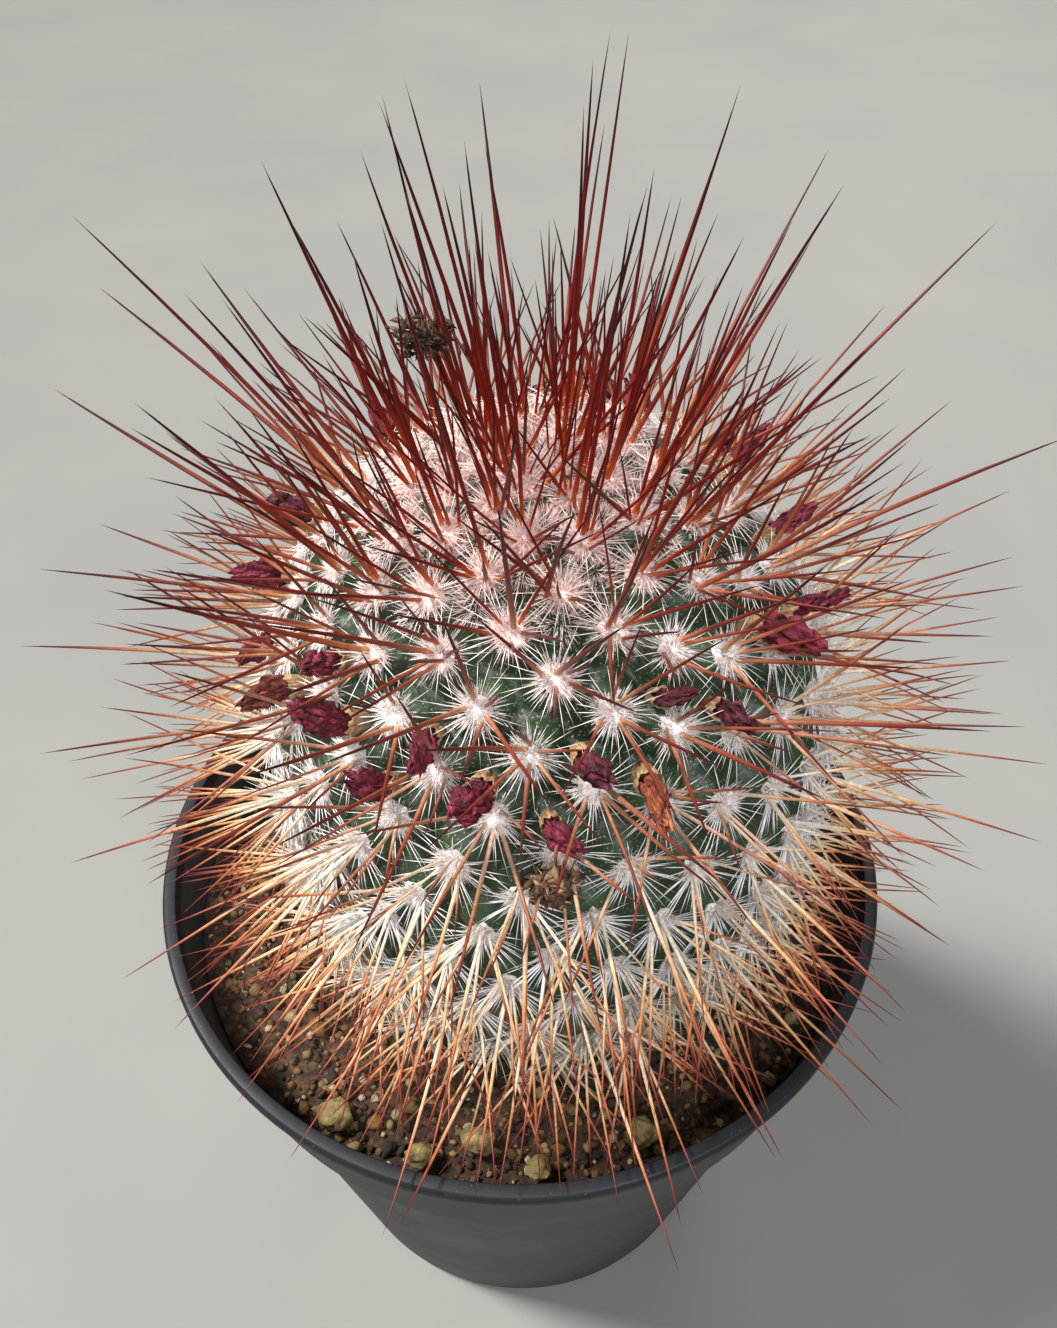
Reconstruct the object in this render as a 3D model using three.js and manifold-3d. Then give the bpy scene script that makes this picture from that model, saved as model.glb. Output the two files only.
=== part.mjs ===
// A round spiny cactus growing in a 10 cm nursery pot.
// Millimetres, +Z up, origin in the middle of the pot's flat underside.
//
// The stem carries its areoles, the woolly cushions that bear the spines, on a spiral lattice: each
// one follows the last by a fixed turn. Every thirteenth areole lines up with its neighbour, so the
// cushions and their spines are made as thirteen rows that wind from the crown down to the foot.

import * as THREE from 'three';
import { ConvexGeometry } from 'three/addons/geometries/ConvexGeometry.js';
import { mergeVertices } from 'three/addons/utils/BufferGeometryUtils.js';
import Module from 'manifold-3d';

const wasm = await Module();
wasm.setup();

// ---------------------------------------------------------------- driving dimensions

// Nursery pot
const POT_H = 85;
const RIM_R = 50;           // outside of the lip
const BASE_R = 35;
const WALL = 1;
const FLOOR = 1.2;
const COLLAR_H = 17;        // plain band under the lip
const COLLAR_STEP = 1.6;    // how far the collar stands out from the tapering body
const LIP_OUT = 0.8;        // how far the lip stands out from the collar
const LIP_H = 2;
const DRAIN_R = 3;
const DRAIN_COUNT = 6;
const DRAIN_RING_R = 22;
const POT_SIDES = 40;

// Potting mix
const SOIL_Z = 75;          // mean level of its surface
const SOIL_BUMP = 0.5;
const GAP = 0.35;           // clearance between pieces that lie against each other

// Stem: a barrel with a round head, in its own frame. The head leans, the lower part is upright.
const STEM_R = 32.1;
const STEM_UP = 36;         // from the widest level to the apex
const STEM_DOWN = 75;       // half axis of the fuller lower part
const STEM_CENTRE = new THREE.Vector3(3.5, -1.2, 114);
const LEAN_X = 0.116;       // radians
const LEAN_Y = -0.092;
const TIP_OUT = 0.9;        // tubercle tips stand this far out of the barrel
const VALLEY = 0.62;        // depth between tubercles, as a share of their half spacing
const BARE_Z = -34;         // below this level the stem is smooth and buried
const FOOT_Z = -44;         // ring of the buried foot
const FOOT_R = 20;
const FOOT_END = -47;
const ROOT_Z = -76;         // end of the taproot

// Spiral lattice of areoles
const DIVERGENCE = THREE.MathUtils.degToRad(137.526);
const FIRST_TURN = 1.24;    // angle of areole 0, radians
const EQUATOR_COUNT = 152.6; // areoles above the widest level
const CROWDING = 1.254;     // areoles crowd a little towards the crown
const FIRST_AREOLE = 2;
const LAST_AREOLE = 245;
const LATTICE_END = 262;    // the lattice runs on under the foot
const ROWS = 13;

// Woolly cushion at the base of each spine cluster
const HUB_OUT = 1.75;       // its middle, above the barrel
const HUB_R = 1.1;
const HUB_TOP = 0.85;
const HUB_BOTTOM = 0.45;
const SLOTS = 6;            // places for a spine round a cushion
const SPINE_R = 0.7;        // half width of a spine where it leaves the cushion
const SPINE_GAP = 0.12;     // least gap between spines of different cushions

// Dried flowers, by the areole under whose upper side each one grew
const FLOWER_AXILS = [65, 67, 69, 70, 71, 72, 74, 76, 77, 79, 80, 81,
  82, 83, 84, 85, 87, 88, 89, 90, 93, 94, 96, 98];
const FLOWER_PROFILE = [[0, 0], [0.5, 0.15], [0.65, 1.4], [0.95, 2.4], [2, 4.2], [2.4, 6],
  [1.9, 8], [0.9, 9.4], [0, 9.8]];  // radius, height
const FLOWER_SIDES = 6;
const FLOWER_LIFT = 0.35;   // the flower starts this far above the plane of the tubercle tips

// Loose things: grit on the mix (turn in degrees, distance from the middle, size) and caught debris
const STONES = [[238.5, 43.6, 2.2], [254, 43.8, 1.9], [263, 40.6, 2.3], [273, 43.4, 1.7],
  [291, 42, 2.1], [10, 43, 2], [160, 42, 2.3]];
const DEBRIS = [
  { name: 'caught_debris_crown', at: [-9, 1.5, 161.5], half: [3.2, 2.4, 1.9] },
  { name: 'caught_debris_front', at: [3.5, -37, 126.5], half: [2.5, 1.5, 1.9] },
];
const SEED_AREOLE = 27;

// Taproot, as radius and height, from its end up into the foot
const ROOT_PROFILE = [[0, ROOT_Z], [1.4, ROOT_Z + 1], [3, -62], [5, -54], [8, -49.5],
  [10, -45], [0, -42]];

// Free spaces kept over the mix for water, one in each quarter: distance of their middles from both
// axes, half their width, and their top
const WATER_AT = 29;
const WATER_HALF = 3.5;
const WATER_TOP = 84.5;

// ---------------------------------------------------------------- helpers

// A repeatable number from 0 to 1 for a pair of numbers.
function chance(a, b) {
  const s = Math.sin(a * 12.9898 + b * 78.233) * 43758.5453;
  return s - Math.floor(s);
}

function weld(geometry) {
  const bare = geometry.clone();
  bare.deleteAttribute('normal');
  bare.deleteAttribute('uv');
  return mergeVertices(bare, 1e-4);
}

// A closed geometry as a solid that can be joined or cut. Slivers on the axis are left out.
function solidOf(geometry) {
  const welded = weld(geometry);
  const corners = Array.from(welded.index.array);
  const triangles = [];
  for (let i = 0; i < corners.length; i += 3) {
    const [a, b, c] = corners.slice(i, i + 3);
    if (a !== b && b !== c && c !== a) triangles.push(a, b, c);
  }
  return new wasm.Manifold(new wasm.Mesh({
    numProp: 3,
    vertProperties: welded.attributes.position.array,
    triVerts: new Uint32Array(triangles),
  }));
}

function geometryOf(solid) {
  const mesh = solid.getMesh();
  return indexedGeometry(mesh.vertProperties, mesh.triVerts);
}

function indexedGeometry(positions, triangles) {
  const geometry = new THREE.BufferGeometry();
  geometry.setAttribute('position', new THREE.Float32BufferAttribute(positions, 3));
  geometry.setIndex(Array.from(triangles));
  geometry.computeVertexNormals();
  return geometry;
}

// A profile of [radius, height] pairs turned about the Z axis.
function turned(profile, sides) {
  const points = profile.map(([r, z]) => new THREE.Vector2(r, z));
  return new THREE.LatheGeometry(points, sides).rotateX(Math.PI / 2);
}

// A rough lump: a ball with each corner moved in or out.
function lump(half, detail, seed) {
  const geometry = weld(new THREE.IcosahedronGeometry(1, detail));
  const place = geometry.attributes.position;
  const corner = new THREE.Vector3();
  for (let i = 0; i < place.count; i += 1) {
    corner.fromBufferAttribute(place, i).multiplyScalar(0.8 + 0.2 * chance(seed, i));
    place.setXYZ(i, corner.x * half[0], corner.y * half[1], corner.z * half[2]);
  }
  geometry.computeVertexNormals();
  return geometry;
}

// ---------------------------------------------------------------- pot and potting mix

const collarZ = POT_H - COLLAR_H;
const collarTopR = RIM_R - LIP_OUT;
const bodyTopR = 45.2;
const collarR = bodyTopR + COLLAR_STEP;

// Radius of the pot's inner wall at a height above the collar's step.
function innerCollarR(z) {
  const share = (z - collarZ) / COLLAR_H;
  return THREE.MathUtils.lerp(collarR, collarTopR, share) - WALL;
}

function potGeometry() {
  const stepUp = 0.6;
  const profile = [
    [0, 0], [BASE_R - 2.5, 0], [BASE_R - 0.7, 0.7], [BASE_R, 2.5],
    [bodyTopR, collarZ - 1], [collarR, collarZ], [collarTopR, POT_H - LIP_H],
    [RIM_R, POT_H - LIP_H + 0.4], [RIM_R, POT_H - 0.5], [RIM_R - 0.4, POT_H],
    [innerCollarR(POT_H), POT_H], [collarR - WALL, collarZ + stepUp],
    [bodyTopR - WALL, collarZ - 1 + stepUp], [BASE_R - WALL, 3.2],
    [BASE_R - 2.2, FLOOR], [0, FLOOR],
  ];
  let pot = solidOf(turned(profile, POT_SIDES));
  for (let i = 0; i < DRAIN_COUNT; i += 1) {
    const turn = (i + 0.5) * 2 * Math.PI / DRAIN_COUNT;
    const drill = new THREE.CylinderGeometry(DRAIN_R, DRAIN_R, 6, 12).rotateX(Math.PI / 2);
    drill.translate(DRAIN_RING_R * Math.cos(turn), DRAIN_RING_R * Math.sin(turn), 0);
    pot = pot.subtract(solidOf(drill));
  }
  return geometryOf(pot);
}

// The mix fills the pot up to its level, with a socket that the stem's foot and root sit in.
function soilGeometry(lean) {
  const top = [46.3, 40, 33, 26, 19].map((r) => [r, SOIL_Z]);
  const profile = [
    [0, FLOOR + GAP], [BASE_R - 2.6, FLOOR + GAP], [BASE_R - WALL - GAP, 3.5],
    [bodyTopR - WALL - GAP, collarZ - 0.4], [collarR - WALL - GAP, collarZ + 0.9],
    ...top, [0, SOIL_Z],
  ];
  const block = weld(turned(profile, POT_SIDES));
  const place = block.attributes.position;
  for (let i = 0; i < place.count; i += 1) {
    if (place.getZ(i) > SOIL_Z - 0.1) {
      const swell = 2 * chance(place.getX(i).toFixed(2), place.getY(i).toFixed(2)) - 1;
      place.setZ(i, SOIL_Z + SOIL_BUMP * swell);
    }
  }
  const reach = 2 * GAP;
  const socket = ROOT_PROFILE.slice(0, -2).map(([r, z]) => [r > 0 ? r + reach : 0, z - 0.5]);
  socket.push([FOOT_R + 1, FOOT_Z - 1.2], [stemRadius(-37) + 1.1, -37.5],
    [stemRadius(-30) + 2.2, -31], [stemRadius(-20) + 2.2, -20], [0, -20]);
  const cutter = sheared(turned(socket, 32)).applyMatrix4(lean);
  return geometryOf(solidOf(block).subtract(solidOf(cutter)));
}

// ---------------------------------------------------------------- stem and its lattice

// Radius of the barrel at a height in the stem's frame.
function stemRadius(z) {
  const half = z > 0 ? STEM_UP : STEM_DOWN;
  return STEM_R * Math.sqrt(Math.max(0, 1 - (z / half) ** 2));
}

// The stem's middle line: below the widest level it bends back, so that the foot stands upright.
function middleLine(z) {
  const low = Math.min(0, z);
  return new THREE.Vector3(-LEAN_Y * low, LEAN_X * low, 0);
}

// A turned shape with its lower part moved onto the stem's middle line.
function sheared(geometry) {
  const place = geometry.attributes.position;
  for (let i = 0; i < place.count; i += 1) {
    const shift = middleLine(place.getZ(i));
    place.setXY(i, place.getX(i) + shift.x, place.getY(i) + shift.y);
  }
  return geometry;
}

// Areole n: its foot on the barrel, the outward direction, and the direction of its row.
function latticePoint(n) {
  const rise = THREE.MathUtils.clamp(1 - (n / EQUATOR_COUNT) ** CROWDING, -1, 1);
  const turn = FIRST_TURN - n * DIVERGENCE;
  const z = STEM_UP * rise;
  const r = stemRadius(z);
  return new THREE.Vector3(r * Math.cos(turn), r * Math.sin(turn), z).add(middleLine(z));
}

function outward(point) {
  const half = point.z > 0 ? STEM_UP : STEM_DOWN;
  const arm = point.clone().sub(middleLine(point.z));
  return new THREE.Vector3(
    arm.x / STEM_R ** 2, arm.y / STEM_R ** 2, point.z / half ** 2).normalize();
}

function areole(n) {
  const foot = latticePoint(n);
  const out = outward(foot);
  const along = latticePoint(n + ROWS).sub(foot);
  along.addScaledVector(out, -along.dot(out)).normalize();
  return {
    n, out, along,
    side: new THREE.Vector3().crossVectors(out, along),
    tip: foot.clone().addScaledVector(out, TIP_OUT),
    hub: foot.clone().addScaledVector(out, HUB_OUT),
  };
}

// The hull of the tubercle tips, with a three-sided valley pressed into each of its faces.
function stemGeometry() {
  const corners = [];
  for (let n = 0; n <= LATTICE_END; n += 1) {
    const { tip } = areole(n);
    corners.push(tip.z < BARE_Z ? latticePoint(n) : tip);
  }
  const footSides = 14;
  for (let i = 0; i < footSides; i += 1) {
    const turn = i * 2 * Math.PI / footSides;
    const foot = new THREE.Vector3(FOOT_R * Math.cos(turn), FOOT_R * Math.sin(turn), FOOT_Z);
    corners.push(foot.add(middleLine(FOOT_Z)));
  }
  corners.push(new THREE.Vector3(0, 0, FOOT_END).add(middleLine(FOOT_END)));
  const hull = weld(new ConvexGeometry(corners));
  const positions = Array.from(hull.attributes.position.array);
  const index = Array.from(hull.index.array);
  const triangles = [];
  for (let i = 0; i < index.length; i += 3) {
    const face = index.slice(i, i + 3);
    const [a, b, c] = face.map((k) => new THREE.Vector3().fromArray(positions, 3 * k));
    const middle = new THREE.Vector3().add(a).add(b).add(c).divideScalar(3);
    if (middle.z < BARE_Z) {
      triangles.push(...face);
      continue;
    }
    const nearest = Math.min(middle.distanceTo(a), middle.distanceTo(b), middle.distanceTo(c));
    middle.addScaledVector(new THREE.Triangle(a, b, c).getNormal(new THREE.Vector3()),
      -VALLEY * nearest);
    const low = positions.push(middle.x, middle.y, middle.z) / 3 - 1;
    triangles.push(face[0], face[1], low, face[1], face[2], low, face[2], face[0], low);
  }
  const root = sheared(turned(ROOT_PROFILE, 12));
  return geometryOf(solidOf(indexedGeometry(positions, triangles)).add(solidOf(root)));
}

// ---------------------------------------------------------------- dried flowers

// A dried flower grows out of the axil above tubercle n, between it and its two upper neighbours.
function flowerPlace(n) {
  const base = new THREE.Vector3();
  for (const near of [n, n - 13, n - 21]) base.add(areole(near).tip);
  base.divideScalar(3);
  const out = outward(base);
  const lean = new THREE.Vector3(chance(n, 1) - 0.5, chance(n, 2) - 0.5, -0.1 - 0.3 * chance(n, 3));
  const axis = out.clone().addScaledVector(lean, 0.3).normalize();
  return { base: base.addScaledVector(out, FLOWER_LIFT), axis };
}

function flowerGeometry(n) {
  const { base, axis } = flowerPlace(n);
  const geometry = weld(turned(FLOWER_PROFILE, FLOWER_SIDES));
  const place = geometry.attributes.position;
  for (let i = 0; i < place.count; i += 1) {
    if (place.getZ(i) > 3) {
      const pinch = 0.72 + 0.28 * chance(n, 10 + i);
      place.setXY(i, place.getX(i) * pinch, place.getY(i) * pinch);
    }
  }
  geometry.applyQuaternion(new THREE.Quaternion().setFromUnitVectors(
    new THREE.Vector3(0, 0, 1), axis));
  return geometryOf(solidOf(geometry.translate(base.x, base.y, base.z)));
}

// ---------------------------------------------------------------- spines

// A straight run that tapers from one radius to another. Spines, bridges and flowers are all
// tested for clearance as such runs.
function run(from, to, r0, r1, owners) {
  return { line: new THREE.Line3(from, to), r0, r1, owners };
}

// True where two runs come closer than their radii and the gap. The nearest points of two lines are
// found from the lines' equations, then held inside both lines.
function clash(p, q, gap) {
  const u = p.line.delta(new THREE.Vector3());
  const v = q.line.delta(new THREE.Vector3());
  const w = new THREE.Vector3().subVectors(p.line.start, q.line.start);
  const uu = u.dot(u);
  const uv = u.dot(v);
  const vv = v.dot(v);
  const uw = u.dot(w);
  const vw = v.dot(w);
  const spread = uu * vv - uv * uv;
  let s = spread > 1e-9 ? THREE.MathUtils.clamp((uv * vw - vv * uw) / spread, 0, 1) : 0;
  const t = vv > 1e-9 ? THREE.MathUtils.clamp((uv * s + vw) / vv, 0, 1) : 0;
  s = uu > 1e-9 ? THREE.MathUtils.clamp((uv * t - uw) / uu, 0, 1) : 0;
  const near = p.line.at(s, new THREE.Vector3()).distanceTo(q.line.at(t, new THREE.Vector3()));
  const room = THREE.MathUtils.lerp(p.r0, p.r1, s) + THREE.MathUtils.lerp(q.r0, q.r1, t);
  return near < room + gap;
}

// True where a spine would run into the mix, the rim, a stone or a space kept for water.
function blocked(from, to, lean) {
  const point = new THREE.Vector3();
  for (let step = 3; step <= 24; step += 1) {
    point.lerpVectors(from, to, step / 24).applyMatrix4(lean);
    const r = Math.hypot(point.x, point.y);
    if (r < RIM_R - 2.6 && point.z < SOIL_Z + 1.6) return true;
    if (r >= RIM_R - 2.6 && r < RIM_R + 1.2 && point.z < POT_H + 0.8) return true;
    const offX = Math.abs(Math.abs(point.x) - WATER_AT);
    const offY = Math.abs(Math.abs(point.y) - WATER_AT);
    if (Math.max(offX, offY) < WATER_HALF + 0.6 && point.z < WATER_TOP + 0.6) return true;
    for (const [turn, ring, size] of STONES) {
      const angle = THREE.MathUtils.degToRad(turn);
      const away = Math.hypot(point.x - ring * Math.cos(angle), point.y - ring * Math.sin(angle),
        point.z - SOIL_Z - 1.5);
      if (away < size + 0.9) return true;
    }
  }
  return false;
}

// The spines that areole n bears: one long one and up to five shorter ones that spread round it.
// Young spines at the crown stand bunched and upright, older ones spread.
function spinesOf(n, lean) {
  const at = areole(n);
  const { lerp, clamp } = THREE.MathUtils;
  const young = clamp(1 - n / 55, 0, 1);
  const old = clamp((n - 130) / 90, 0, 1);
  const long = Math.floor(SLOTS * chance(n, 4));
  const found = [];
  for (let slot = 0; slot < SLOTS; slot += 1) {
    if (slot !== long && chance(n, 20 + slot) < 0.2) continue;
    const turn = (slot + 0.55 * (chance(n, 30 + slot) - 0.5)) * 2 * Math.PI / SLOTS;
    const spread = chance(n, 40 + slot);
    const growth = chance(n, 50 + slot);
    const tilt = slot === long ? 0.06 + 0.2 * spread : lerp(0.44, 0.14, young) + 0.3 * spread;
    const reach = slot === long ? lerp(16.5, 29, young) + 9.5 * growth ** 1.3
      : lerp(11, 17, young) + lerp(8, 11, young) * growth;
    const direction = at.out.clone().multiplyScalar(Math.cos(tilt))
      .addScaledVector(at.along, Math.sin(tilt) * Math.cos(turn))
      .addScaledVector(at.side, Math.sin(tilt) * Math.sin(turn));
    direction.z += 0.55 * young - 0.4 * old;
    let tip = null;
    for (let lift = 0; lift < 8 && !tip; lift += 1) {
      const aim = direction.clone();
      aim.z += 0.14 * lift;
      const end = at.hub.clone().addScaledVector(aim.normalize(), reach);
      if (!blocked(at.hub, end, lean)) tip = end;
    }
    if (tip) found.push({ n, slot, tip, reach, run: run(at.hub, tip, SPINE_R, 0, [n]) });
  }
  return found;
}

// The spines that the rows carry: the longest first, then each one that stays clear of those
// already placed and of bridges, flowers and debris.
function chosenSpines(obstacles, lean) {
  const wanted = [];
  for (let n = FIRST_AREOLE; n <= LAST_AREOLE; n += 1) wanted.push(...spinesOf(n, lean));
  wanted.sort((a, b) => b.reach - a.reach || a.n - b.n || a.slot - b.slot);
  const placed = [...obstacles];
  const kept = new Map();
  for (const spine of wanted) {
    const apart = placed.every((other) => other.owners.includes(spine.n)
      || !clash(spine.run, other, SPINE_GAP));
    if (!apart) continue;
    placed.push(spine.run);
    kept.set(`${spine.n}/${spine.slot}`, spine.tip);
  }
  return kept;
}

// One row: six-sided cushions joined by low bridges, which stand for the flat spines that
// interlace between neighbours, with a three-sided spine on each place that has one.
function rowGeometry(members, spineTips) {
  const positions = [];
  const triangles = [];
  const put = (v) => positions.push(v.x, v.y, v.z) / 3 - 1;
  let before = null;
  members.forEach((n, order) => {
    const at = areole(n);
    const ring = [];
    for (let k = 0; k < SLOTS; k += 1) {
      const turn = (k + 0.5) * 2 * Math.PI / SLOTS;
      ring.push(put(at.hub.clone().addScaledVector(at.along, HUB_R * Math.cos(turn))
        .addScaledVector(at.side, HUB_R * Math.sin(turn))));
    }
    const top = put(at.hub.clone().addScaledVector(at.out, HUB_TOP));
    const low = put(at.hub.clone().addScaledVector(at.out, -HUB_BOTTOM));
    for (let slot = 0; slot < SLOTS; slot += 1) {
      const a = ring[(slot + SLOTS - 1) % SLOTS];
      const b = ring[slot];
      const spine = spineTips.get(`${n}/${slot}`);
      if (spine) {
        const tip = put(spine);
        triangles.push(a, b, tip, b, top, tip, top, a, tip);
      } else {
        triangles.push(a, b, top);
      }
      const bridged = (slot === 0 && order < members.length - 1) || (slot === 3 && before);
      if (!bridged) triangles.push(b, a, low);
    }
    if (before) {
      const [left, right] = [ring[2], ring[3]];
      triangles.push(before.left, before.right, right, before.left, right, left,
        before.right, before.low, low, before.right, low, right,
        before.low, before.left, left, before.low, left, low);
    }
    before = { left: ring[0], right: ring[SLOTS - 1], low };
  });
  return indexedGeometry(positions, triangles);
}

// ---------------------------------------------------------------- assembly

const finish = {
  pot: { color: 0x2b2c2e, roughness: 0.5 },
  soil: { color: 0x2c2018, roughness: 1 },
  stem: { color: 0x2f4a35, roughness: 0.6 },
  spine: { color: 0x9c3f22, roughness: 0.4 },
  flower: { color: 0x7d1d40, roughness: 0.8 },
  stone: { color: 0x8c8356, roughness: 0.9 },
  debris: { color: 0x3a2616, roughness: 1 },
};

function piece(name, geometry, kind) {
  const mesh = new THREE.Mesh(geometry,
    new THREE.MeshStandardMaterial({ ...finish[kind], metalness: 0 }));
  mesh.name = name;
  return mesh;
}

const twoDigits = (number) => String(number).padStart(2, '0');

// The plant's own frame: its pieces are made about the stem's middle, then lean together.
const plant = new THREE.Group();
plant.position.copy(STEM_CENTRE);
plant.rotation.set(LEAN_X, LEAN_Y, 0, 'YXZ');
plant.updateMatrix();
const lean = plant.matrix.clone();
const upright = lean.clone().invert();

plant.add(piece('stem', stemGeometry(), 'stem'));

const obstacles = [];
FLOWER_AXILS.forEach((n, i) => {
  const { base, axis } = flowerPlace(n);
  const up = (height) => base.clone().addScaledVector(axis, height);
  obstacles.push(run(up(0), up(3.4), 0.95, 1.5, []), run(up(3.4), up(9.6), 2.4, 2.1, []));
  plant.add(piece(`dried_flower_${twoDigits(i + 1)}`, flowerGeometry(n), 'flower'));
});

const seedAt = areole(SEED_AREOLE);
const seedPlace = seedAt.hub.clone().addScaledVector(seedAt.side, 2.3)
  .addScaledVector(seedAt.out, 0.1);
const seed = piece('seed_husk', lump([0.5, 0.7, 0.5], 0, 9), 'debris');
seed.position.copy(seedPlace);
plant.add(seed);
obstacles.push(run(seedPlace, seedPlace, 0.7, 0.7, []));

DEBRIS.forEach(({ name, at, half }, i) => {
  const clump = piece(name, lump(half, 1, 5 + i), 'debris');
  clump.position.fromArray(at).applyMatrix4(upright);
  plant.add(clump);
  obstacles.push(run(clump.position, clump.position, half[0], half[0], []));
});

const rows = Array.from({ length: ROWS }, () => []);
for (let n = FIRST_AREOLE; n <= LAST_AREOLE; n += 1) rows[n % ROWS].push(n);
rows.forEach((members) => {
  for (let i = 1; i < members.length; i += 1) {
    const pair = [members[i - 1], members[i]];
    obstacles.push(run(areole(pair[0]).hub, areole(pair[1]).hub, 0.75, 0.75, pair));
  }
});
const spineTips = chosenSpines(obstacles, lean);
rows.forEach((members, i) => {
  const name = `spine_row_${twoDigits(i + 1)}`;
  plant.add(piece(name, rowGeometry(members, spineTips), 'spine'));
});

const potted = new THREE.Group();
potted.add(piece('pot', potGeometry(), 'pot'));
potted.add(piece('potting_mix', soilGeometry(lean), 'soil'));
STONES.forEach(([turn, ring, size], i) => {
  const angle = THREE.MathUtils.degToRad(turn);
  const stone = piece(`grit_stone_${i + 1}`, lump([size, size * 0.85, size * 0.7], 1, i), 'stone');
  const height = SOIL_Z + SOIL_BUMP + GAP + size * 0.7;
  stone.position.set(ring * Math.cos(angle), ring * Math.sin(angle), height);
  potted.add(stone);
});
potted.add(plant);

export default potted;
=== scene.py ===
# %% [markdown]
# # A round cactus in a nursery pot
# This lesson builds the looks of one potted cactus round a finished construction model, the
# frame, which already fixes where each piece is and how large. Here we make the fine surfaces:
# skin, wool, spines, dried flowers, potting mix and pot. We begin by loading the frame.

import random
from math import atan2, cos, floor, hypot, pi, radians, remainder, sin, sqrt, tau

import bmesh
import bpy
import numpy as np
from mathutils import Matrix, Vector, noise
from mathutils.kdtree import KDTree


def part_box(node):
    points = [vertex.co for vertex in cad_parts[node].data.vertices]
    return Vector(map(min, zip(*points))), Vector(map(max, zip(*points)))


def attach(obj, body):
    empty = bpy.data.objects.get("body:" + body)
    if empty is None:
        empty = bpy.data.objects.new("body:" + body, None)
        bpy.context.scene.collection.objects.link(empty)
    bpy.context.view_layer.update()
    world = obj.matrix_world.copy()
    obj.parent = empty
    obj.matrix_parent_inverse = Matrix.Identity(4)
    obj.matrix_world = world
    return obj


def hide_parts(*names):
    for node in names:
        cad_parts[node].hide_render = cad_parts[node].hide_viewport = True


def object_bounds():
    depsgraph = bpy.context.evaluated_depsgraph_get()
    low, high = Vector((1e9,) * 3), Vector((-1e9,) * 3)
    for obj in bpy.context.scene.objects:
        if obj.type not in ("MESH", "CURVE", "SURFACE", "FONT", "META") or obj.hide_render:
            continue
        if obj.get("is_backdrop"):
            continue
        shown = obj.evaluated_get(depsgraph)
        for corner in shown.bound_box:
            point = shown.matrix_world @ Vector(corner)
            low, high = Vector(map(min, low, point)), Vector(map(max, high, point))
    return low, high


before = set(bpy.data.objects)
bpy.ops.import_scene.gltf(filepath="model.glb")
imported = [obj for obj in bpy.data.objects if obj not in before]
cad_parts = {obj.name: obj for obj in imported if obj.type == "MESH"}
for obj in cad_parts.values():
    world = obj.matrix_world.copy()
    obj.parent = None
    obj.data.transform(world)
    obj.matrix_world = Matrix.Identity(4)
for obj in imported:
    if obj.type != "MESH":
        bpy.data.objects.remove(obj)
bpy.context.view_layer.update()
scene = bpy.context.scene
print("The frame holds", len(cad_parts), "nodes")

# %% [markdown]
# ## Measures
# A small plant is easiest to think of in millimetres, so one matrix turns the millimetres below
# into Blender's metres. The plant's own origin is the middle of the stem's widest level. The plant
# leans a little in its pot, so a second matrix leans it, and all its formulas stay short.

# %% Measures of the pot and of the plant
MM = 0.001
POT_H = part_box("pot")[1].z / MM
RIM_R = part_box("pot")[1].x / MM
BASE_R = 35
WALL = 1
FLOOR_Z = 1.2
COLLAR_Z = POT_H - 17
BODY_TOP_R = 45.2
COLLAR_R = BODY_TOP_R + 1.6
COLLAR_TOP_R = RIM_R - 0.8
LIP_Z = POT_H - 2
SOIL_Z = 75

STEM_R = 32.1
STEM_UP = 36
STEM_DOWN = 75
STEM_CENTRE = Vector((3.5, -1.2, 114))
LEAN_X = 0.116
LEAN_Y = -0.092
TIP_OUT = 0.9     # how far a tubercle's tip stands out of the barrel
HUB_OUT = 1.75    # how far out the spines of an areole meet
BARE_Z = -34      # below this the stem has no tubercles
FOOT_Z = -44
FOOT_R = 20

DIVERGENCE = radians(137.526)   # the turn from one areole to the next
FIRST_TURN = 1.24
EQUATOR_COUNT = 152.6           # the areoles above the widest level
CROWDING = 1.254                # above 1, they crowd towards the crown
LAST_AREOLE = 245
LATTICE_END = 262
ROWS = 13
SLOTS = 6                       # the most main spines on one areole

lean = Matrix.Rotation(LEAN_Y, 4, "Y") @ Matrix.Rotation(LEAN_X, 4, "X")
pot_to_part = Matrix.Scale(MM, 4)
plant_to_pot = Matrix.Translation(STEM_CENTRE) @ lean
plant_to_part = pot_to_part @ plant_to_pot
print(f"Pot {POT_H:.0f} mm high and {2 * RIM_R:.0f} mm wide, stem {2 * STEM_R:.0f} mm wide")

# %% [markdown]
# ## Camera
# The cactus is seen from close by and from above. A near camera with a wide view makes the crown
# look large and the pot's base small, so distance and lens matter as much as the angle. The camera
# looks along +Y, the direction that the frame calls front to back.

# %% Camera
CAMERA_AIM = Vector((1.15, 0, 119.2))
CAMERA_DISTANCE = 133.6
CAMERA_ELEVATION = radians(44.35)
CAMERA_LENS = 29.82

camera_data = bpy.data.cameras.new("camera")
camera_data.lens = CAMERA_LENS
camera_data.clip_start = 0.005
camera = bpy.data.objects.new("camera", camera_data)
scene.collection.objects.link(camera)
back = Vector((0, -cos(CAMERA_ELEVATION), sin(CAMERA_ELEVATION)))
camera.location = (CAMERA_AIM + back * CAMERA_DISTANCE) * MM
camera.rotation_euler = (pi / 2 - CAMERA_ELEVATION, 0, 0)
scene.camera = camera
scene.view_settings.view_transform = "Standard"
print("Camera at", [round(x, 3) for x in camera.location])

# %% [markdown]
# ## Light and floor
# Fine spines need a light with a direction, or they melt into each other, but a soft one, or
# their shadows turn the wool grey. A wide sun from the upper left models them, and is equally
# bright all over the floor. A lamp in front opens the shadows, a lamp behind lights the floor
# there, and a pale sky fills the rest.

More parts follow.
